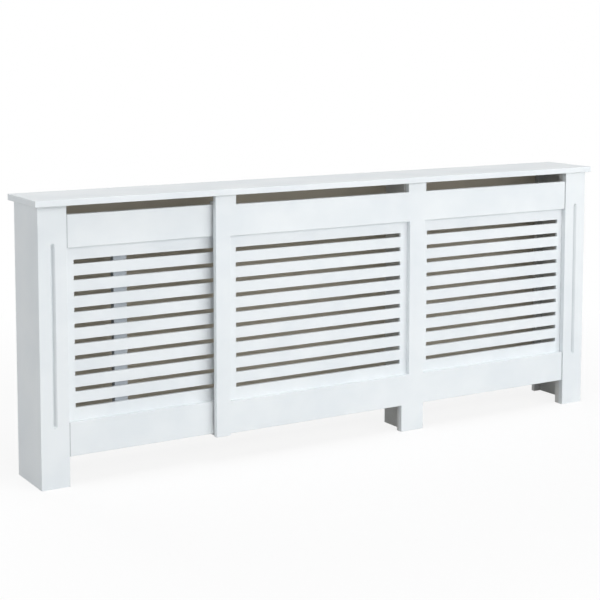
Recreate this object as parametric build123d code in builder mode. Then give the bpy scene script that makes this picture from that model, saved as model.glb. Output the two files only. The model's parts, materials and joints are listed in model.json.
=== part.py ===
from build123d import *
import os

# Extendable radiator cover: painted board, open back, three slotted bays.
# Millimetres. X runs along the cover, the room side faces -Y, the wall side +Y, +Z is up.
# The origin is on the floor at the centre of the cover's plan, at full extension.

# ---------------------------------------------------------------- overall
overall_length = 1994.0  # top board
overall_height = 815.0
cover_depth = 203.0  # front face of the main frame to the wall
board_front_overhang = 12.0  # top board past the main frame
board_end_overhang = 18.0  # top board past each end panel

# ---------------------------------------------------------------- board stock
board_thickness = 18.0  # top board
post_thickness = 18.0
panel_thickness = 18.0  # end panels
frame_thickness = 15.0
grille_thickness = 9.0
support_thickness = 18.0
corner_batten_thickness = 18.0
arris = 1.5  # rounding of the top board and the posts
frame_arris = 0.8  # chamfer of the frames' front edges
window_corner = 3.0  # cutter radius in the frames' inside corners

# ---------------------------------------------------------------- heights
vent_gap = 29.0  # between frieze and top board
frieze_height = 93.0
rail_height = 97.0
leg_height = 85.0  # floor to the underside of the rails
guide_post_drop = 6.0  # middle-left post below the rail

# ---------------------------------------------------------------- lengths along the front
post_width = 85.0
slide_travel = 450.0  # of the left section, from full extension inwards
stop_gap = 2.0  # between left post and main frame, pushed in
guide_post_width = 48.0  # middle-left post
center_window_length = 645.0
stem_width = 57.0  # middle leg beside the windows
foot_width = 85.0  # middle leg under the rail
tab_width = 68.0  # frame under the top board
left_window_length = 495.0
left_stile_width = 27.0  # hidden end of the left frame

# ---------------------------------------------------------------- slots
slot_count = 10
slot_height = 13.0
slot_pitch = 45.25
slot_corner = 1.5  # radius in the slots' corners
left_slot_margin = 26.0  # window's edge to the slots' ends
center_slot_margin = 26.0
right_slot_margin = 20.0
grille_side_lap = 16.0  # grille board behind the stiles
grille_height_lap = 30.0  # grille board behind frieze and rail
board_gap = 0.5  # between boards in one layer

# ---------------------------------------------------------------- grooves in the posts
groove_width = 14.0
groove_depth = 7.0  # half its width, from a right-angled V cutter
groove_bottom = 178.0  # centre of the lower round end
groove_top = 684.0  # centre of the upper round end

# ---------------------------------------------------------------- telescoping joint
slide_gap = 0.5  # guide to panel, and left section to top board
panel_gap = 1.0  # left frame behind the centre grille board
guide_length = 42.0
guide_inset = 4.0  # from the outer edge of the middle-left post
guide_rear_wall = 5.0
guide_upper_web = 7.5
guide_wall_height = 27.5  # walls past the web

# ---------------------------------------------------------------- supports and battens
support_offset = 21.0  # middle support board, from the outer edge of the foot
support_depth = 101.0
rear_batten_width = 27.0
rear_batten_thickness = 15.0
stiffener_width = 40.0
stiffener_thickness = 20.0
stiffener_offset = 150.0  # from the left post
stiffener_inset = 25.0  # from the edges of frieze and rail

# ---------------------------------------------------------------- hardware
dowel_radius = 4.0
dowel_length = 40.0
dowel_inset = 24.0  # from the edges of frieze and rail
dowel_clearance = 0.1
bracket_leg = 20.0
bracket_width = 18.0
bracket_thickness = 2.0
bracket_bend = 1.0  # inside radius
bracket_hole_radius = 2.2
bracket_hole_distance = 12.5  # from the bracket's corner
support_bracket_offset = 50.0  # from the main grilles' back
wall_bracket_leg = 25.0
wall_bracket_hole_distance = 15.0
wall_bracket_inset = 60.0  # from the ends of the main frame
wall_hole_radius = 2.6

# ---------------------------------------------------------------- planes and edges worked out
board_underside = overall_height - board_thickness
frieze_top = board_underside - vent_gap
window_top = frieze_top - frieze_height
rail_bottom = leg_height
window_bottom = rail_bottom + rail_height
guide_post_bottom = rail_bottom - guide_post_drop

left_outer = -overall_length / 2 + board_end_overhang
right_outer = overall_length / 2 - board_end_overhang
left_post_edge = left_outer + post_width
right_post_edge = right_outer - post_width
main_frame_edge = left_post_edge + slide_travel + stop_gap
center_window_left = main_frame_edge + guide_post_width
center_window_right = center_window_left + center_window_length
stem_middle = center_window_right + stem_width / 2
right_window_left = center_window_right + stem_width
foot_left = right_window_left - foot_width
left_window_right = left_post_edge + left_window_length
left_frame_end = left_window_right + left_stile_width
stem_tab_left = stem_middle - tab_width / 2
stem_tab_right = stem_middle + tab_width / 2

board_front = -(cover_depth + board_front_overhang) / 2
main_front = board_front + board_front_overhang
main_back = main_front + frame_thickness
main_grille_back = main_back + grille_thickness
wall_plane = main_front + cover_depth
left_front = main_grille_back + panel_gap
left_back = left_front + frame_thickness
left_grille_back = left_back + grille_thickness

center_grille_left = center_window_left - grille_side_lap
center_grille_right = center_window_right + grille_side_lap
grille_bottom = window_bottom - grille_height_lap
grille_top = window_top + grille_height_lap
sliding_top = board_underside - slide_gap


def room_side(y):
    """Sketch plane at depth y: its x is the cover's X, its y is Z, and it extrudes towards the room."""
    return Plane.XZ.offset(-y)


def rect(low_x, high_x, low_y, high_y, mode=Mode.ADD):
    """Rectangle between two corners, in the sketch's own coordinates."""
    with Locations(((low_x + high_x) / 2, (low_y + high_y) / 2)):
        Rectangle(high_x - low_x, high_y - low_y, mode=mode)


def facing(x, y, z, direction):
    """Plane for a hole that enters a face, whose outward normal is direction."""
    return Plane(origin=(x, y, z), z_dir=direction)


def window(low_x, high_x):
    """Window in a frame's sketch, between frieze and rail, with the cutter's radius in its corners."""
    with Locations(((low_x + high_x) / 2, (window_bottom + window_top) / 2)):
        RectangleRounded(high_x - low_x, window_top - window_bottom, window_corner, mode=Mode.SUBTRACT)


def slots(window_left, window_right, margin):
    """Rows of square-ended slots, centred in a window's height."""
    length = window_right - window_left - 2 * margin
    middle = ((window_left + window_right) / 2, (window_bottom + window_top) / 2)
    with Locations(middle):
        with GridLocations(0, slot_pitch, 1, slot_count):
            RectangleRounded(length, slot_height, slot_corner, mode=Mode.SUBTRACT)


def groove(x, front):
    """V groove with cone-shaped ends, as a V cutter leaves it, in a post's front face."""
    with BuildSketch(Plane.XY.offset(groove_bottom)) as profile:
        with BuildLine():
            Polyline(
                (x - groove_width / 2, front),
                (x + groove_width / 2, front),
                (x, front + groove_depth),
                close=True,
            )
        make_face()
    extrude(profile.sketch, amount=groove_top - groove_bottom, mode=Mode.SUBTRACT)
    ends = [facing(x, front, z, (0, -1, 0)) for z in (groove_bottom, groove_top)]
    with Locations(*ends):
        Cone(
            0,
            groove_width / 2,
            groove_depth,
            align=(Align.CENTER, Align.CENTER, Align.MAX),
            mode=Mode.SUBTRACT,
        )


def dowel_holes(places):
    """Blind holes for half a dowel."""
    with Locations(*places):
        Hole(dowel_radius + dowel_clearance, dowel_length / 2 + dowel_clearance)


def post(outer, edge, front, back, top):
    """End post: a board with rounded front edges and a routed groove."""
    with BuildSketch(Plane.XY) as profile:
        rect(min(outer, edge), max(outer, edge), front, back)
    board = extrude(profile.sketch, amount=top)
    fillet(board.faces().sort_by(Axis.Y)[0].edges().filter_by(Axis.Z), radius=arris)
    groove((outer + edge) / 2, front)


def upright(low_x, high_x, low_y, high_y, low_z, high_z):
    """Plain board or batten that stands between two heights."""
    with BuildSketch(Plane.XY.offset(low_z)) as profile:
        rect(low_x, high_x, low_y, high_y)
    extrude(profile.sketch, amount=high_z - low_z)


def guide(low_z, high_z, web_low, web_high):
    """Channel that holds an edge of the sliding panel: two walls and a web."""
    with BuildSketch(Plane.YZ.offset(guide_left)) as profile:
        rect(main_back, channel_front, low_z, high_z)
        rect(channel_back, guide_back, low_z, high_z)
        rect(main_back, guide_back, web_low, web_high)
    extrude(profile.sketch, amount=guide_length)


def bracket_corner(x, y, direction):
    """Plane across a bracket, from its corner under the top board: x runs away from its seat, y up."""
    across = Vector(direction).cross(Vector(0, 0, 1))
    return Plane(origin=(x, y, board_underside), x_dir=direction, z_dir=across)


def leg_seat(corner, distance):
    """Plane on the upright leg's free face, at a distance below the corner."""
    return Plane(origin=corner.from_local_coords((bracket_thickness, -distance, 0)), z_dir=corner.x_dir)


def board_seat(corner, distance):
    """Plane on the upper leg's lower face, at a distance from the corner."""
    return Plane(origin=corner.from_local_coords((distance, -bracket_thickness, 0)), z_dir=(0, 0, -1))


def bracket(corner, leg):
    """Folded steel angle with rounded bend."""
    with BuildSketch(corner) as profile:
        rect(0, leg, -bracket_thickness, 0)
        rect(0, bracket_thickness, -leg, 0)
        outside = profile.vertices().sort_by_distance((0, 0, 0))[0]
        fillet(outside, radius=bracket_bend + bracket_thickness)
        inside = profile.vertices().sort_by_distance((bracket_thickness, -bracket_thickness, 0))[0]
        fillet(inside, radius=bracket_bend)
    extrude(profile.sketch, amount=bracket_width / 2, both=True)


# ---------------------------------------------------------------- where the hardware goes
right_inner = right_outer - panel_thickness
left_inner = left_outer + panel_thickness
right_post_front = main_back - post_thickness
left_post_front = left_back - post_thickness

dowel_heights = [
    rail_bottom + dowel_inset,
    window_bottom - dowel_inset,
    window_top + dowel_inset,
    frieze_top - dowel_inset,
]
right_dowel_y = main_front + frame_thickness / 2
left_dowel_y = left_front + frame_thickness / 2
right_frame_bores = [facing(right_post_edge, right_dowel_y, z, (1, 0, 0)) for z in dowel_heights]
right_post_bores = [facing(right_post_edge, right_dowel_y, z, (-1, 0, 0)) for z in dowel_heights]
left_frame_bores = [facing(left_post_edge, left_dowel_y, z, (-1, 0, 0)) for z in dowel_heights]
left_post_bores = [facing(left_post_edge, left_dowel_y, z, (1, 0, 0)) for z in dowel_heights]

right_batten_back = main_back + corner_batten_thickness
left_batten_back = left_back + corner_batten_thickness
rear_batten_front = wall_plane - rear_batten_thickness
right_rear_edge = right_inner - rear_batten_width
left_rear_edge = left_inner + rear_batten_width

guide_left = main_frame_edge + guide_inset
guide_right = guide_left + guide_length
channel_front = left_front - slide_gap
channel_back = left_back + slide_gap
guide_back = channel_back + guide_rear_wall
lower_web_top = rail_bottom - slide_gap
upper_web_bottom = frieze_top + slide_gap
lower_guide_top = lower_web_top + guide_wall_height
upper_guide_bottom = upper_web_bottom - guide_wall_height
upper_guide_top = upper_web_bottom + guide_upper_web

stiffener_left = left_post_edge + stiffener_offset
stiffener_right = stiffener_left + stiffener_width
stiffener_back = left_grille_back + stiffener_thickness

support_left = foot_left + support_offset
support_right = support_left + support_thickness
support_back = main_grille_back + support_depth

frame_tab_right = main_frame_edge + tab_width
tab_bracket = bracket_corner((guide_right + frame_tab_right) / 2, main_back, (0, 1, 0))
support_bracket = bracket_corner(support_right, main_grille_back + support_bracket_offset, (1, 0, 0))
end_bracket = bracket_corner(right_inner, right_batten_back + bracket_width, (-1, 0, 0))
top_corners = [tab_bracket, support_bracket, end_bracket]
wall_corners = [
    bracket_corner(x, wall_plane, (0, -1, 0))
    for x in (main_frame_edge + wall_bracket_inset, right_post_edge - wall_bracket_inset)
]
top_leg_seats = [leg_seat(corner, bracket_hole_distance) for corner in top_corners]
board_seats = [board_seat(corner, bracket_hole_distance) for corner in top_corners]
wall_leg_seats = [leg_seat(corner, wall_bracket_hole_distance) for corner in wall_corners]
wall_board_seats = [board_seat(corner, wall_bracket_hole_distance) for corner in wall_corners]

# ---------------------------------------------------------------- top board
with BuildPart() as top_board:
    with BuildSketch(Plane.XY.offset(board_underside)):
        rect(-overall_length / 2, overall_length / 2, board_front, wall_plane)
    extrude(amount=board_thickness)
    for face in (top_board.faces().sort_by(Axis.Z)[-1], top_board.faces().sort_by(Axis.Z)[0]):
        fillet(face.edges().sort_by(Axis.Y)[:-1], radius=arris)

# ---------------------------------------------------------------- fixed section, front
with BuildPart() as main_front_frame:
    with BuildSketch(room_side(main_back)):
        rect(main_frame_edge, right_post_edge, rail_bottom, frieze_top)
        rect(main_frame_edge, center_window_left, guide_post_bottom, rail_bottom)
        rect(foot_left, right_window_left, 0, rail_bottom)
        rect(main_frame_edge, frame_tab_right, frieze_top, board_underside)
        rect(stem_tab_left, stem_tab_right, frieze_top, board_underside)
        window(center_window_left, center_window_right)
        window(right_window_left, right_post_edge + window_corner)
    extrude(amount=frame_thickness)
    chamfer(main_front_frame.faces().sort_by(Axis.Y)[0].edges(), length=frame_arris)
    dowel_holes(right_frame_bores)

with BuildPart() as center_grille:
    with BuildSketch(room_side(main_grille_back)):
        rect(center_grille_left, center_grille_right, grille_bottom, grille_top)
        slots(center_window_left, center_window_right, center_slot_margin)
    extrude(amount=grille_thickness)

with BuildPart() as right_grille:
    with BuildSketch(room_side(main_grille_back)):
        rect(right_window_left - grille_side_lap, right_post_edge - board_gap, grille_bottom, grille_top)
        slots(right_window_left, right_post_edge, right_slot_margin)
    extrude(amount=grille_thickness)

with BuildPart() as right_post:
    post(right_outer, right_post_edge, right_post_front, main_back, board_underside)
    dowel_holes(right_post_bores)

with BuildPart() as leg_backing:
    strip_low = grille_bottom - board_gap
    strip_high = grille_top + board_gap
    strip_left = center_grille_right + board_gap
    strip_right = right_window_left - grille_side_lap - board_gap
    with BuildSketch(room_side(main_grille_back)):
        rect(foot_left, right_window_left, 0, rail_bottom)
        rect(center_window_right, right_window_left, rail_bottom, strip_low)
        rect(strip_left, strip_right, strip_low, strip_high)
        rect(center_window_right, right_window_left, strip_high, frieze_top)
        rect(stem_tab_left, stem_tab_right, frieze_top, board_underside)
    extrude(amount=grille_thickness)

with BuildPart() as support_board:
    upright(support_left, support_right, main_grille_back, support_back, 0, board_underside)

# ---------------------------------------------------------------- fixed section, right end
with BuildPart() as right_end_panel:
    upright(right_inner, right_outer, main_back, wall_plane, 0, board_underside)

with BuildPart() as right_corner_batten:
    upright(right_post_edge, right_inner, main_back, right_batten_back, 0, board_underside)

with BuildPart() as right_rear_batten:
    upright(right_rear_edge, right_inner, rear_batten_front, wall_plane, 0, board_underside)

# ---------------------------------------------------------------- guides of the sliding panel
with BuildPart() as lower_guide:
    guide(guide_post_bottom, lower_guide_top, guide_post_bottom, lower_web_top)

with BuildPart() as upper_guide:
    guide(upper_guide_bottom, upper_guide_top, upper_web_bottom, upper_guide_top)

# ---------------------------------------------------------------- sliding section
with BuildPart() as left_front_frame:
    with BuildSketch(room_side(left_back)):
        rect(left_post_edge, left_frame_end, rail_bottom, frieze_top)
        window(left_post_edge - window_corner, left_window_right)
    extrude(amount=frame_thickness)
    chamfer(left_front_frame.faces().sort_by(Axis.Y)[0].edges(), length=frame_arris)
    dowel_holes(left_frame_bores)

with BuildPart() as left_grille:
    with BuildSketch(room_side(left_grille_back)):
        rect(left_post_edge + board_gap, left_window_right + grille_side_lap, grille_bottom, grille_top)
        slots(left_post_edge, left_window_right, left_slot_margin)
    extrude(amount=grille_thickness)

with BuildPart() as left_post:
    post(left_outer, left_post_edge, left_post_front, left_back, sliding_top)
    dowel_holes(left_post_bores)

with BuildPart() as left_end_panel:
    upright(left_outer, left_inner, left_back, wall_plane, 0, sliding_top)

with BuildPart() as left_corner_batten:
    upright(left_inner, left_post_edge, left_back, left_batten_back, 0, sliding_top)

with BuildPart() as left_rear_batten:
    upright(left_inner, left_rear_edge, rear_batten_front, wall_plane, 0, sliding_top)

with BuildPart() as left_stiffener:
    upright(
        stiffener_left,
        stiffener_right,
        left_grille_back,
        stiffener_back,
        rail_bottom + stiffener_inset,
        frieze_top - stiffener_inset,
    )

# ---------------------------------------------------------------- dowels and brackets
with BuildPart() as right_dowels:
    with Locations(*right_frame_bores):
        Cylinder(dowel_radius, dowel_length)

with BuildPart() as left_dowels:
    with Locations(*left_frame_bores):
        Cylinder(dowel_radius, dowel_length)

with BuildPart() as top_brackets:
    for corner in top_corners:
        bracket(corner, bracket_leg)
    with Locations(*top_leg_seats, *board_seats):
        Hole(bracket_hole_radius, bracket_thickness)

with BuildPart() as wall_brackets:
    for corner in wall_corners:
        bracket(corner, wall_bracket_leg)
    with Locations(*wall_board_seats):
        Hole(bracket_hole_radius, bracket_thickness)
    with Locations(*wall_leg_seats):
        Hole(wall_hole_radius, bracket_thickness)

# ---------------------------------------------------------------- labels and files
pieces = {
    "top_board": top_board,
    "main_front_frame": main_front_frame,
    "center_grille": center_grille,
    "right_grille": right_grille,
    "right_post": right_post,
    "leg_backing": leg_backing,
    "support_board": support_board,
    "right_end_panel": right_end_panel,
    "right_corner_batten": right_corner_batten,
    "right_rear_batten": right_rear_batten,
    "lower_guide": lower_guide,
    "upper_guide": upper_guide,
    "left_front_frame": left_front_frame,
    "left_grille": left_grille,
    "left_post": left_post,
    "left_end_panel": left_end_panel,
    "left_corner_batten": left_corner_batten,
    "left_rear_batten": left_rear_batten,
    "left_stiffener": left_stiffener,
    "right_dowels": right_dowels,
    "left_dowels": left_dowels,
    "top_brackets": top_brackets,
    "wall_brackets": wall_brackets,
}
os.makedirs("parts", exist_ok=True)
for name, piece in pieces.items():
    piece.part.label = name
    export_step(piece.part, f"parts/{name}.step")
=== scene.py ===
import json
import math

import bmesh
import bpy
from mathutils import Matrix, Vector

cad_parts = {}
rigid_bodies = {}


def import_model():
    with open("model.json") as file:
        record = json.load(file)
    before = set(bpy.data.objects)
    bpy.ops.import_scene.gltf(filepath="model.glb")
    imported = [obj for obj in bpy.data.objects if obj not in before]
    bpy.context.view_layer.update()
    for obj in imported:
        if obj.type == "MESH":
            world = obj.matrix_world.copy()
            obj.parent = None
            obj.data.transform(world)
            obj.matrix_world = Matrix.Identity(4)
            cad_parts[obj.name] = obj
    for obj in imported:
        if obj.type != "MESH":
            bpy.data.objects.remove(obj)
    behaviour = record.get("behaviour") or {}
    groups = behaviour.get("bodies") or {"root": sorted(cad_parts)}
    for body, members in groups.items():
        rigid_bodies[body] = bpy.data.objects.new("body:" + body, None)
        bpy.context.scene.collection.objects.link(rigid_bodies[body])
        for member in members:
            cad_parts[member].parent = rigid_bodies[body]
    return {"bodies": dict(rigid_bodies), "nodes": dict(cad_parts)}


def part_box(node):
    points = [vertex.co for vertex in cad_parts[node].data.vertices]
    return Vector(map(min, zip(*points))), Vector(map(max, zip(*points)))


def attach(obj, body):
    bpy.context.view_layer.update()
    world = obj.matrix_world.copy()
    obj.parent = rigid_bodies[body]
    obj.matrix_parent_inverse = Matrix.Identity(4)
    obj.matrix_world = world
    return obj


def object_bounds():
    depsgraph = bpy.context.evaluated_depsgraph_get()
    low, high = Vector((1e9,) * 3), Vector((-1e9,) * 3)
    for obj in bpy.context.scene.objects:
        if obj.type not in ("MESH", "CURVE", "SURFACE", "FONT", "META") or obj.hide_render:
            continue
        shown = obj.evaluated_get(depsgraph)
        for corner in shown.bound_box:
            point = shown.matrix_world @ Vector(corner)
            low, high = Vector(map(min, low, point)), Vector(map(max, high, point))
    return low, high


# Dresses the radiator cover: painted boards, plastic guides, steel angles and their screws.
# Metres. The room side faces -Y, the wall side +Y, +Z is up.

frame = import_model()
nodes = frame["nodes"]
cad_low, cad_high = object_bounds()
scene = bpy.context.scene
MM = 0.001

# ------------------------------------------------------------------ main camera
# Fitted to the photograph with a smaller vertical shift, which other views keep.
CAMERA_PLACE = Vector((-2.3821, -3.7695, 1.2631))
CAMERA_YAW = 31.216  # degrees from +Y towards +X
CAMERA_PITCH = 5.546  # degrees below the horizon
CAMERA_ROLL = 0.032
CAMERA_LENS = 86.323
CAMERA_SENSOR = 36.0
CAMERA_SHIFT = -0.21

# ------------------------------------------------------------------ colours, as sRGB bytes
PAINT_WHITE = (233, 237, 239)
PAINT_SHADE = (227, 232, 235)
PAINT_EDGE = (218, 222, 224)
THIN_COAT = (232, 233, 232)
THIN_COAT_DARK = (222, 223, 222)
# grey of the stiffener: painted shade, for the shade it stands in behind the grille
STIFFENER_SHADE_GREY = (172, 178, 184)
STIFFENER_SHADE_GREY_DARK = (162, 168, 174)
PLASTIC_WHITE = (222, 224, 224)
BEECH_LIGHT = (206, 164, 112)
BEECH_DARK = (168, 122, 76)
ZINC_LIGHT = (190, 194, 197)
ZINC_DARK = (142, 147, 152)
WALL_PAINT = (207, 199, 184)
FLOOR_WHITE = (250, 250, 250)
FLOOR_BOUNCE = (190, 192, 193)
# shade that is part of the paint and stays under any light
SEAM_SHADE = (120, 126, 130)
GROOVE_SHADE = (168, 174, 178)

# ------------------------------------------------------------------ finishes
# reaches and depths, in metres
EDGE_REACH = 0.0012
SEAM_REACH = 0.0042
HOLLOW_REACH = 0.015
CORNER_SHADE_REACH = 0.2
PEEL_DEPTH = 0.00005
PAINT_FIBRE_DEPTH = 0.000015
COAT_FIBRE_DEPTH = 0.00003
CUTTER_MARK_DEPTH = 0.00003
MOULD_TEXTURE_DEPTH = 0.00002
GRAIN_DEPTH = 0.00008
ROLLED_LINE_DEPTH = 0.00001
CORNER_SHADE_TONE = 0.85  # painted shade: share of the coat's colour that is left in the deepest corner
GROOVE_SHARE = 0.42  # share of the groove's shade at its bottom
PLASTIC_DARKER = 0.96  # share of the plastic's colour in its darker clouds
SAME_SIDE = 0.7  # least cosine between a face and the direction that it counts as turned to
OCCLUSION_SAMPLES = 8  # rays per point


def linear(rgb):
    """sRGB bytes as a linear colour with alpha."""

    def one(c):
        c = c / 255
        return c / 12.92 if c <= 0.04045 else ((c + 0.055) / 1.055) ** 2.4

    return (*[one(c) for c in rgb], 1.0)


# ------------------------------------------------------------------ materials
def new_material(name):
    """Material with its node tree, and its Principled shader."""
    material = bpy.data.materials.new(name)
    material.use_nodes = True
    return material, material.node_tree, material.node_tree.nodes["Principled BSDF"]


def add(tree, kind, **values):
    """Node of a kind, with its inputs set by name."""
    node = tree.nodes.new(kind)
    for name, value in values.items():
        node.inputs[name.replace("_", " ")].default_value = value
    return node


def ramp(tree, source, stops):
    """Colour ramp between two (position, colour) stops."""
    node = tree.nodes.new("ShaderNodeValToRGB")
    for element, (position, colour) in zip(node.color_ramp.elements, stops):
        element.position = position
        element.color = colour
    tree.links.new(source, node.inputs["Fac"])
    return node.outputs["Color"]


def noise(tree, scale, detail=2.0, roughness=0.5, stretch=(1, 1, 1)):
    """Noise in the object's own coordinates, in cycles per metre."""
    where = tree.nodes.new("ShaderNodeTexCoord").outputs["Object"]
    mapping = add(tree, "ShaderNodeMapping", Scale=stretch)
    tree.links.new(where, mapping.inputs["Vector"])
    node = add(tree, "ShaderNodeTexNoise", Scale=scale, Detail=detail, Roughness=roughness)
    tree.links.new(mapping.outputs["Vector"], node.inputs["Vector"])
    return node.outputs["Fac"]


def to_range(tree, source, low, high):
    """Maps a 0.3 to 0.7 noise onto a range."""
    node = add(tree, "ShaderNodeMapRange", From_Min=0.3, From_Max=0.7, To_Min=low, To_Max=high)
    tree.links.new(source, node.inputs["Value"])
    return node.outputs["Result"]


def bumps(tree, shader, layers):
    """Chain of bumps from (height, distance in metres) layers."""
    normal = None
    for height, distance in layers:
        node = add(tree, "ShaderNodeBump", Strength=1.0, Distance=distance)
        tree.links.new(height, node.inputs["Height"])
        if normal:
            tree.links.new(normal, node.inputs["Normal"])
        normal = node.outputs["Normal"]
    tree.links.new(normal, shader.inputs["Normal"])


def facing_side(tree, direction):
    """1 on faces turned to a direction in the object's own axes, 0 on the others."""
    normal = tree.nodes.new("ShaderNodeTexCoord").outputs["Normal"]
    along = tree.nodes.new("ShaderNodeVectorMath")
    along.operation = "DOT_PRODUCT"
    along.inputs[1].default_value = direction
    tree.links.new(normal, along.inputs[0])
    turned = tree.nodes.new("ShaderNodeMath")
    turned.operation = "GREATER_THAN"
    turned.inputs[1].default_value = SAME_SIDE
    tree.links.new(along.outputs["Value"], turned.inputs[0])
    return turned.outputs[0]


def worn_edges(tree):
    """1 along the edges, where the spray is thin, fading to 0 about a millimetre in."""
    soft = add(tree, "ShaderNodeBevel", Radius=EDGE_REACH)
    sharp = tree.nodes.new("ShaderNodeNewGeometry").outputs["Normal"]
    along = tree.nodes.new("ShaderNodeVectorMath")
    along.operation = "DOT_PRODUCT"
    tree.links.new(soft.outputs["Normal"], along.inputs[0])
    tree.links.new(sharp, along.inputs[1])
    edge = add(tree, "ShaderNodeMapRange", From_Min=0.99, From_Max=0.8, To_Min=0.0, To_Max=1.0)
    tree.links.new(along.outputs["Value"], edge.inputs["Value"])
    return edge.outputs["Result"]


def blend_colours(tree, share, first, second):
    """Colour between two, where second is a colour or a socket."""
    mix = tree.nodes.new("ShaderNodeMix")
    mix.data_type = "RGBA"
    tree.links.new(share, mix.inputs["Factor"])
    tree.links.new(first, mix.inputs["A"])
    if isinstance(second, tuple):
        mix.inputs["B"].default_value = second
    else:
        tree.links.new(second, mix.inputs["B"])
    return mix.outputs["Result"]


def scaled(tree, colour, factor):
    """Colour times a factor."""
    darker = tree.nodes.new("ShaderNodeVectorMath")
    darker.operation = "SCALE"
    tree.links.new(colour, darker.inputs[0])
    tree.links.new(factor, darker.inputs["Scale"])
    return darker.outputs["Vector"]


def with_corner_shade(tree, colour):
    """Painted shade: a colour that falls to a set share of itself in the inside corners of the cover,
    where shade falls.
    """
    open_air = add(tree, "ShaderNodeAmbientOcclusion", Distance=CORNER_SHADE_REACH)
    open_air.samples = OCCLUSION_SAMPLES
    tone = add(tree, "ShaderNodeMapRange", From_Min=0.25, From_Max=0.85, To_Min=CORNER_SHADE_TONE, To_Max=1.0)
    tree.links.new(open_air.outputs["AO"], tone.inputs["Value"])
    return scaled(tree, colour, tone.outputs["Result"])


def seam_shade_share(tree, seam):
    """Share of painted shade beside the step where a post stands proud of the frame: 1 at a seam between
    two boards across X, fading to 0 towards the cover's middle.
    """
    axes = tree.nodes.new("ShaderNodeSeparateXYZ")
    tree.links.new(tree.nodes.new("ShaderNodeTexCoord").outputs["Object"], axes.inputs[0])
    outward = tree.nodes.new("ShaderNodeMath")
    outward.operation = "ABSOLUTE"
    tree.links.new(axes.outputs["X"], outward.inputs[0])
    near = add(tree, "ShaderNodeMapRange", From_Min=seam - SEAM_REACH, From_Max=seam)
    near.inputs["To Min"].default_value = 0.0
    near.inputs["To Max"].default_value = 1.0
    tree.links.new(outward.outputs[0], near.inputs["Value"])
    return near.outputs["Result"]


def groove_shade_share(tree):
    """Share of painted shade: GROOVE_SHARE at the bottom of the object's own narrow grooves, 0 on open
    faces.
    """
    open_air = add(tree, "ShaderNodeAmbientOcclusion", Distance=HOLLOW_REACH)
    open_air.samples = OCCLUSION_SAMPLES
    open_air.only_local = True
    depth = add(tree, "ShaderNodeMapRange", From_Min=0.95, From_Max=0.5, To_Min=0.0, To_Max=GROOVE_SHARE)
    tree.links.new(open_air.outputs["AO"], depth.inputs["Value"])
    return depth.outputs["Result"]


def paint(name, inside, seam=None, grooved=False):
    """Sprayed satin paint on board: faint clouding, orange peel, fibres that show through.

    The side turned to the inside of the cover has one thin coat, with painted shade in its corners.
    Painted shade can also be added beside a seam and in grooves."""
    material, tree, shader = new_material(name)
    cloud = noise(tree, 6.0, detail=3.0)
    colour = ramp(tree, cloud, [(0.35, linear(PAINT_SHADE)), (0.6, linear(PAINT_WHITE))])
    streaks = noise(tree, 14.0, detail=4.0)
    thin = ramp(tree, streaks, [(0.36, linear(THIN_COAT_DARK)), (0.62, linear(THIN_COAT))])
    # faces turned to the inside: the thin coat, with painted shade in the corners
    colour = blend_colours(tree, facing_side(tree, inside), colour, with_corner_shade(tree, thin))
    colour = blend_colours(tree, worn_edges(tree), colour, linear(PAINT_EDGE))
    # painted shade on the frame beside the step of a proud post
    if seam:
        colour = blend_colours(tree, seam_shade_share(tree, seam), colour, linear(SEAM_SHADE))
    # painted shade at the bottom of the posts' grooves
    if grooved:
        colour = blend_colours(tree, groove_shade_share(tree), colour, linear(GROOVE_SHADE))
    tree.links.new(colour, shader.inputs["Base Color"])
    patches = noise(tree, 24.0, detail=2.0)
    tree.links.new(to_range(tree, patches, 0.42, 0.52), shader.inputs["Roughness"])
    peel = noise(tree, 420.0, detail=1.5)
    fibres = noise(tree, 1500.0, detail=2.0, roughness=0.6)
    bumps(tree, shader, [(peel, PEEL_DEPTH), (fibres, PAINT_FIBRE_DEPTH)])
    shader.inputs["Specular IOR Level"].default_value = 0.4
    return material


def coat(name, light, dark):
    """One thin coat on bare board: cloudy, with raised fibres and cutter marks, and painted shade in the
    inside corners of the cover.
    """
    material, tree, shader = new_material(name)
    cloud = noise(tree, 14.0, detail=4.0)
    sprayed = ramp(tree, cloud, [(0.36, linear(dark)), (0.62, linear(light))])
    colour = blend_colours(tree, worn_edges(tree), with_corner_shade(tree, sprayed), linear(PAINT_EDGE))
    tree.links.new(colour, shader.inputs["Base Color"])
    tree.links.new(to_range(tree, noise(tree, 40.0), 0.55, 0.68), shader.inputs["Roughness"])
    fibres = noise(tree, 900.0, detail=3.0, roughness=0.65)
    marks = noise(tree, 260.0, detail=1.0, stretch=(1, 1, 0.05))
    bumps(tree, shader, [(marks, CUTTER_MARK_DEPTH), (fibres, COAT_FIBRE_DEPTH)])
    shader.inputs["Specular IOR Level"].default_value = 0.3
    return material


def plastic(name):
    """Moulded white plastic with a fine spark-eroded texture."""
    material, tree, shader = new_material(name)
    cloud = noise(tree, 30.0)
    base = linear(PLASTIC_WHITE)
    darker = (*[c * PLASTIC_DARKER for c in base[:3]], 1.0)
    tree.links.new(ramp(tree, cloud, [(0.4, darker), (0.6, base)]), shader.inputs["Base Color"])
    tree.links.new(to_range(tree, noise(tree, 90.0), 0.34, 0.44), shader.inputs["Roughness"])
    bumps(tree, shader, [(noise(tree, 2200.0, detail=1.0), MOULD_TEXTURE_DEPTH)])
    return material


def beech(name):
    """Turned beech with grain along X."""
    material, tree, shader = new_material(name)
    grain = noise(tree, 260.0, detail=4.0, roughness=0.6, stretch=(0.06, 1, 1))
    stops = [(0.35, linear(BEECH_DARK)), (0.62, linear(BEECH_LIGHT))]
    tree.links.new(ramp(tree, grain, stops), shader.inputs["Base Color"])
    tree.links.new(to_range(tree, grain, 0.55, 0.7), shader.inputs["Roughness"])
    bumps(tree, shader, [(grain, GRAIN_DEPTH)])
    return material


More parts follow.
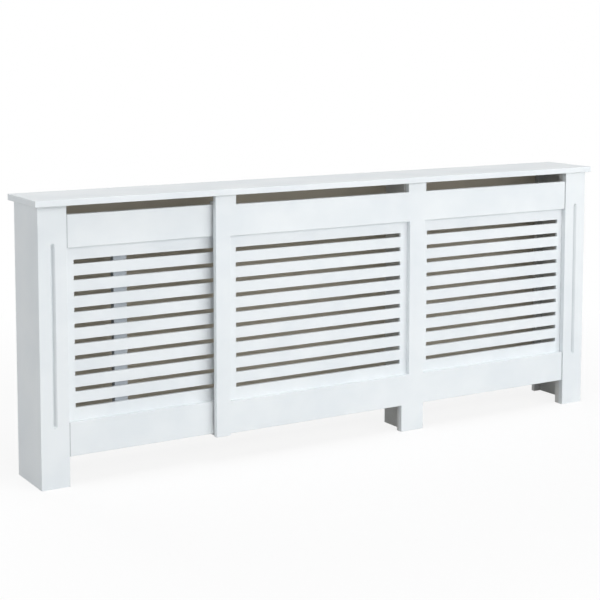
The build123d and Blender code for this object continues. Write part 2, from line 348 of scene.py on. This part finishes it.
def zinc(name):
    """Zinc-plated steel: patchy tone, fine rolled lines, soft reflections."""
    material, tree, shader = new_material(name)
    patch = noise(tree, 160.0, detail=3.0)
    stops = [(0.38, linear(ZINC_DARK)), (0.64, linear(ZINC_LIGHT))]
    tree.links.new(ramp(tree, patch, stops), shader.inputs["Base Color"])
    tree.links.new(to_range(tree, noise(tree, 500.0), 0.28, 0.42), shader.inputs["Roughness"])
    lines = noise(tree, 1800.0, detail=1.0, stretch=(0.1, 0.1, 1))
    bumps(tree, shader, [(lines, ROLLED_LINE_DEPTH)])
    shader.inputs["Metallic"].default_value = 1.0
    return material


top_paint = paint("satin_paint_top", inside=(0, 0, -1))
front_paint = paint("satin_paint_front", inside=(0, 1, 0), seam=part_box("main_front_frame")[1].x)
post_paint = paint("satin_paint_post", inside=(0, 1, 0), grooved=True)
grille_paint = paint("satin_paint_grille", inside=(0, 1, 0))
right_panel_paint = paint("satin_paint_right", inside=(-1, 0, 0))
left_panel_paint = paint("satin_paint_left", inside=(1, 0, 0))
inner_coat = coat("thin_coat", THIN_COAT, THIN_COAT_DARK)
# the stiffener's grey coat is painted shade, for the shade behind the grille
stiffener_shade_coat = coat("stiffener_shade_grey", STIFFENER_SHADE_GREY, STIFFENER_SHADE_GREY_DARK)
guide_plastic = plastic("guide_plastic")
dowel_wood = beech("dowel_wood")
steel_zinc = zinc("zinc_steel")

# node: material, the record's material slot
FINISHES = {
    "top_board": (top_paint, "painted_board"),
    "main_front_frame": (front_paint, "painted_board"),
    "left_front_frame": (front_paint, "painted_board"),
    "center_grille": (grille_paint, "painted_board"),
    "right_grille": (grille_paint, "painted_board"),
    "left_grille": (grille_paint, "painted_board"),
    "right_post": (post_paint, "painted_board"),
    "left_post": (post_paint, "painted_board"),
    "right_end_panel": (right_panel_paint, "painted_board"),
    "left_end_panel": (left_panel_paint, "painted_board"),
    "leg_backing": (inner_coat, "painted_board"),
    "support_board": (inner_coat, "painted_board"),
    "right_corner_batten": (inner_coat, "painted_board"),
    "right_rear_batten": (inner_coat, "painted_board"),
    "left_corner_batten": (inner_coat, "painted_board"),
    "left_rear_batten": (inner_coat, "painted_board"),
    "left_stiffener": (stiffener_shade_coat, "painted_board"),
    "lower_guide": (guide_plastic, "white_plastic"),
    "upper_guide": (guide_plastic, "white_plastic"),
    "right_dowels": (dowel_wood, "beech"),
    "left_dowels": (dowel_wood, "beech"),
    "top_brackets": (steel_zinc, "zinc_steel"),
    "wall_brackets": (steel_zinc, "zinc_steel"),
}
# word in a node's name: width of its edge bevel
EDGE_BEVEL = {
    "grille": 0.5 * MM,
    "panel": 0.6 * MM,
    "batten": 0.8 * MM,
    "backing": 0.6 * MM,
    "support": 0.8 * MM,
    "stiffener": 0.8 * MM,
    "guide": 0.5 * MM,
}
BEVEL_SEGMENTS = 2
BEVEL_FROM_ANGLE = 50  # degrees

for name, node in nodes.items():
    node.data.materials.clear()
    finish, material_slot = FINISHES[name]
    node.data.materials.append(finish)
    for word, width in EDGE_BEVEL.items():
        if word in name:
            bevel = node.modifiers.new("edges", "BEVEL")
            bevel.width = width
            bevel.segments = BEVEL_SEGMENTS
            bevel.limit_method = "ANGLE"
            bevel.angle_limit = math.radians(BEVEL_FROM_ANGLE)

# ------------------------------------------------------------------ bracket screws
HEAD_RADIUS = 3.6 * MM
HEAD_HEIGHT = 2.3 * MM
RIM_LOW = 0.25 * MM  # the head's straight rim, above the seat
RIM_HIGH = 0.9 * MM
SEAT_RADIUS = HEAD_RADIUS * 0.97
DOME_STEPS = 11
DOME_FULLNESS = 0.8
SHANK_RADIUS = 1.9 * MM
SHANK_LENGTH = 10 * MM
TAPER_LENGTH = 3 * MM
TAPER_END_RADIUS = SHANK_RADIUS * 0.3
TIP_LENGTH = 0.6 * MM
RECESS_RADIUS = 2.0 * MM
RECESS_HALF_WIDTH = 0.45 * MM
RECESS_DEPTH = 1.3 * MM
RECESS_RISE = 0.5  # share of the depth that is lost towards the recess ends
TURNS = 40


def screw_mesh():
    """Pan-head wood screw with a cross recess: its seat at the origin, the head towards +Z."""
    mesh = bpy.data.meshes.new("pan_head_screw")
    shell = bmesh.new()
    rings = []
    profile = [(TAPER_END_RADIUS, -SHANK_LENGTH), (SHANK_RADIUS, -SHANK_LENGTH + TAPER_LENGTH)]
    profile += [(SHANK_RADIUS, 0), (SEAT_RADIUS, 0)]
    profile += [(HEAD_RADIUS, RIM_LOW), (HEAD_RADIUS, RIM_HIGH)]
    for step in range(1, DOME_STEPS):
        angle = step / DOME_STEPS * math.pi / 2
        radius = HEAD_RADIUS * math.cos(angle) ** DOME_FULLNESS
        profile.append((radius, RIM_HIGH + (HEAD_HEIGHT - RIM_HIGH) * math.sin(angle)))
    for radius, z in profile:
        ring = []
        for turn in range(TURNS):
            a = 2 * math.pi * turn / TURNS
            x, y = radius * math.cos(a), radius * math.sin(a)
            across = min(abs(x), abs(y))
            cut = z > RIM_HIGH and radius < RECESS_RADIUS and across < RECESS_HALF_WIDTH
            depth = RECESS_DEPTH * (1 - RECESS_RISE * radius / RECESS_RADIUS) if cut else 0
            ring.append(shell.verts.new((x, y, z - depth)))
        rings.append(ring)
    for low, high in zip(rings, rings[1:]):
        for turn in range(TURNS):
            after = (turn + 1) % TURNS
            shell.faces.new((low[turn], low[after], high[after], high[turn]))
    tip = shell.verts.new((0, 0, -SHANK_LENGTH - TIP_LENGTH))
    centre = shell.verts.new((0, 0, HEAD_HEIGHT - RECESS_DEPTH))
    for turn in range(TURNS):
        after = (turn + 1) % TURNS
        shell.faces.new((tip, rings[0][after], rings[0][turn]))
        shell.faces.new((centre, rings[-1][turn], rings[-1][after]))
    for face in shell.faces:
        face.smooth = True
    shell.to_mesh(mesh)
    shell.free()
    mesh.materials.append(steel_zinc)
    return mesh


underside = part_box("top_board")[0].z
frame_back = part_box("main_front_frame")[1].y
support_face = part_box("support_board")[1].x
panel_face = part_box("right_end_panel")[0].x
brackets_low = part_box("top_brackets")[0]
wall_low, wall_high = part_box("wall_brackets")
STEEL = 2 * MM
SEAT = 12.5 * MM  # a screw's distance from its bracket's corner
WALL_SEAT = 15 * MM
HALF_BRACKET = 9 * MM
SUPPORT_BRACKET_FROM_FRONT = 50 * MM  # along the fin
tab_x = brackets_low.x + HALF_BRACKET
support_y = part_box("support_board")[0].y + SUPPORT_BRACKET_FROM_FRONT
panel_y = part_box("right_corner_batten")[1].y + 2 * HALF_BRACKET
# a screw's seat and the direction its head faces
SCREWS = [
    ((tab_x, frame_back + STEEL, underside - SEAT), (0, 1, 0)),
    ((tab_x, frame_back + SEAT, underside - STEEL), (0, 0, -1)),
    ((support_face + STEEL, support_y, underside - SEAT), (1, 0, 0)),
    ((support_face + SEAT, support_y, underside - STEEL), (0, 0, -1)),
    ((panel_face - STEEL, panel_y, underside - SEAT), (-1, 0, 0)),
    ((panel_face - SEAT, panel_y, underside - STEEL), (0, 0, -1)),
    ((wall_low.x + HALF_BRACKET, wall_high.y - WALL_SEAT, underside - STEEL), (0, 0, -1)),
    ((wall_high.x - HALF_BRACKET, wall_high.y - WALL_SEAT, underside - STEEL), (0, 0, -1)),
]
screw = screw_mesh()
for number, (seat, way) in enumerate(SCREWS, 1):
    piece = bpy.data.objects.new(f"bracket_screw_{number}", screw)
    scene.collection.objects.link(piece)
    piece.location = seat
    piece.rotation_euler = Vector(way).to_track_quat("Z", "Y").to_euler()
    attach(piece, "fixed_section")


# ------------------------------------------------------------------ the stage
def stage_sheet(name, corners, material):
    """Flat four-cornered sheet that isn't part of the object."""
    mesh = bpy.data.meshes.new(name)
    mesh.from_pydata(corners, [], [range(len(corners))])
    mesh.materials.append(material)
    sheet = bpy.data.objects.new(name, mesh)
    scene.collection.objects.link(sheet)
    return sheet


def seen_directly(tree):
    """1 for camera, glossy and transmission rays, 0 for the rays that light the object."""
    path = tree.nodes.new("ShaderNodeLightPath")
    total = path.outputs["Is Camera Ray"]
    for kind in ("Is Glossy Ray", "Is Transmission Ray"):
        joined = tree.nodes.new("ShaderNodeMath")
        joined.operation = "MAXIMUM"
        tree.links.new(total, joined.inputs[0])
        tree.links.new(path.outputs[kind], joined.inputs[1])
        total = joined.outputs[0]
    return total


def bare_material(name):
    """Material with its node tree, which holds the output alone, and the output's surface."""
    material = bpy.data.materials.new(name)
    material.use_nodes = True
    tree = material.node_tree
    tree.nodes.clear()
    return material, tree, tree.nodes.new("ShaderNodeOutputMaterial").inputs["Surface"]


FLOOR_HALF = 14.0
SHADOW_FADE_FROM = 1.0  # metres from the object's middle
SHADOW_FADE_TO = 2.4
NEAR_WHITE = 0.84  # share of plain white near the object, the rest shows its shadow


def floor_material():
    """Pale floor: white where it is seen, with part of the object's shadow kept near the object."""
    material, tree, surface = bare_material("floor")
    diffuse = add(tree, "ShaderNodeBsdfDiffuse", Color=linear(FLOOR_WHITE))
    bounce = add(tree, "ShaderNodeBsdfDiffuse", Color=linear(FLOOR_BOUNCE))
    white = add(tree, "ShaderNodeEmission", Color=(1, 1, 1, 1), Strength=1.0)
    where = tree.nodes.new("ShaderNodeTexCoord").outputs["Object"]
    length = tree.nodes.new("ShaderNodeVectorMath")
    length.operation = "LENGTH"
    tree.links.new(where, length.inputs[0])
    fade = add(tree, "ShaderNodeMapRange", From_Min=SHADOW_FADE_FROM, From_Max=SHADOW_FADE_TO)
    fade.inputs["To Min"].default_value = NEAR_WHITE
    fade.inputs["To Max"].default_value = 1.0
    tree.links.new(length.outputs["Value"], fade.inputs["Value"])
    seen = tree.nodes.new("ShaderNodeMixShader")
    tree.links.new(fade.outputs["Result"], seen.inputs["Fac"])
    tree.links.new(diffuse.outputs[0], seen.inputs[1])
    tree.links.new(white.outputs[0], seen.inputs[2])
    mix = tree.nodes.new("ShaderNodeMixShader")
    tree.links.new(seen_directly(tree), mix.inputs["Fac"])
    tree.links.new(bounce.outputs[0], mix.inputs[1])
    tree.links.new(seen.outputs[0], mix.inputs[2])
    tree.links.new(mix.outputs[0], surface)
    return material


def wall_material():
    """The wall behind the cover: one plain matt paint, the same from every side."""
    material, tree, surface = bare_material("wall")
    diffuse = add(tree, "ShaderNodeBsdfDiffuse", Color=linear(WALL_PAINT))
    tree.links.new(diffuse.outputs[0], surface)
    return material


floor_corners = [
    (-FLOOR_HALF, -FLOOR_HALF, 0),
    (FLOOR_HALF, -FLOOR_HALF, 0),
    (FLOOR_HALF, FLOOR_HALF, 0),
    (-FLOOR_HALF, FLOOR_HALF, 0),
]
stage_sheet("floor", floor_corners, floor_material())

CARD_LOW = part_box("left_front_frame")[0].z + 5 * MM
CARD_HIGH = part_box("top_board")[0].z - 3 * MM
CARD_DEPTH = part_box("right_rear_batten")[1].y - 0.5 * MM
CARD_STEP = 1 * MM  # the second card stands this much behind the first
CARD_OVERLAP = 20 * MM
main_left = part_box("main_front_frame")[0].x
wall_paint = wall_material()


def wall_card(name, low_x, high_x, depth, body):
    """Sheet of wall between a section's back edges, that follows the section.

    It isn't a back panel: the cover is open there, and from behind the sheet hides its inside."""
    corners = [
        (low_x, depth, CARD_LOW),
        (high_x, depth, CARD_LOW),
        (high_x, depth, CARD_HIGH),
        (low_x, depth, CARD_HIGH),
    ]
    sheet = stage_sheet(name, corners, wall_paint)
    sheet.parent = frame["bodies"][body]


fixed_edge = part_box("right_rear_batten")[0].x
sliding_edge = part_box("left_rear_batten")[1].x
overlap_edge = main_left + CARD_OVERLAP
wall_card("wall_behind_fixed", main_left, fixed_edge, CARD_DEPTH, "fixed_section")
wall_card("wall_behind_sliding", sliding_edge, overlap_edge, CARD_DEPTH + CARD_STEP, "sliding_section")

# ------------------------------------------------------------------ light
# strength of the world's light from the room side and from the wall side
AMBIENT = 0.20
AMBIENT_BEHIND = 0.05
AMBIENT_COLOUR = (0.96, 0.98, 1, 1)
LAMP_DISTANCE = 7.0
LAMP_SIDE = 4.2
# name: degrees right of the front's normal, degrees up, strength as a share of full light
LAMPS = {
    "key": (34, 20, 0.37),
    "front": (-2, 12, 0.41),
    "side": (-85, 18, 0.29),
    "overhead": (0, 78, 0.35),
    "back": (180, 22, 0.45),
}

world = bpy.data.worlds.new("studio")
scene.world = world
world.use_nodes = True
world_tree = world.node_tree
world_tree.nodes.clear()
white_view = add(world_tree, "ShaderNodeBackground", Color=(1, 1, 1, 1), Strength=1.0)
soft_fill = add(world_tree, "ShaderNodeBackground", Color=AMBIENT_COLOUR)
direction = world_tree.nodes.new("ShaderNodeSeparateXYZ")
around = world_tree.nodes.new("ShaderNodeTexCoord").outputs["Generated"]
world_tree.links.new(around, direction.inputs[0])
falloff = add(world_tree, "ShaderNodeMapRange", From_Min=-0.2, From_Max=0.4)
falloff.inputs["To Min"].default_value = AMBIENT
falloff.inputs["To Max"].default_value = AMBIENT_BEHIND
world_tree.links.new(direction.outputs["Y"], falloff.inputs["Value"])
world_tree.links.new(falloff.outputs["Result"], soft_fill.inputs["Strength"])
world_mix = world_tree.nodes.new("ShaderNodeMixShader")
world_tree.links.new(seen_directly(world_tree), world_mix.inputs["Fac"])
world_tree.links.new(soft_fill.outputs[0], world_mix.inputs[1])
world_tree.links.new(white_view.outputs[0], world_mix.inputs[2])
world_output = world_tree.nodes.new("ShaderNodeOutputWorld")
world_tree.links.new(world_mix.outputs[0], world_output.inputs["Surface"])


def softbox(name, target, azimuth, elevation, strength):
    """Square area light that points at a target, placed by its direction from the front's normal.

    It shows in no reflection, so that it leaves no glare on pale boards."""
    light = bpy.data.lights.new(name, "AREA")
    light.shape = "SQUARE"
    light.size = LAMP_SIDE
    light.energy = strength * (math.pi * LAMP_DISTANCE) ** 2
    holder = bpy.data.objects.new(name, light)
    scene.collection.objects.link(holder)
    a, e = math.radians(azimuth), math.radians(elevation)
    away = Vector((math.sin(a) * math.cos(e), -math.cos(a) * math.cos(e), math.sin(e)))
    holder.location = target + away * LAMP_DISTANCE
    holder.rotation_euler = away.to_track_quat("Z", "Y").to_euler()
    holder.visible_glossy = False


middle = (cad_low + cad_high) / 2
for name, (azimuth, elevation, strength) in LAMPS.items():
    softbox(name, middle, azimuth, elevation, strength)

# ------------------------------------------------------------------ camera
yaw, pitch, roll = (math.radians(a) for a in (CAMERA_YAW, CAMERA_PITCH, CAMERA_ROLL))
forward = Vector((math.sin(yaw) * math.cos(pitch), math.cos(yaw) * math.cos(pitch), -math.sin(pitch)))
level = Vector((math.cos(yaw), -math.sin(yaw), 0))
upward = level.cross(forward)
right = level * math.cos(roll) + upward * math.sin(roll)
top = upward * math.cos(roll) - level * math.sin(roll)
camera_data = bpy.data.cameras.new("camera")
camera = bpy.data.objects.new("camera", camera_data)
scene.collection.objects.link(camera)
turn = Matrix((right, top, -forward)).transposed().to_4x4()
camera.matrix_world = Matrix.Translation(CAMERA_PLACE) @ turn
camera_data.sensor_width = CAMERA_SENSOR
camera_data.lens = CAMERA_LENS
camera_data.shift_y = CAMERA_SHIFT
camera_data.clip_start = 0.05
camera_data.clip_end = 100.0
scene.camera = camera
scene.view_settings.view_transform = "Standard"
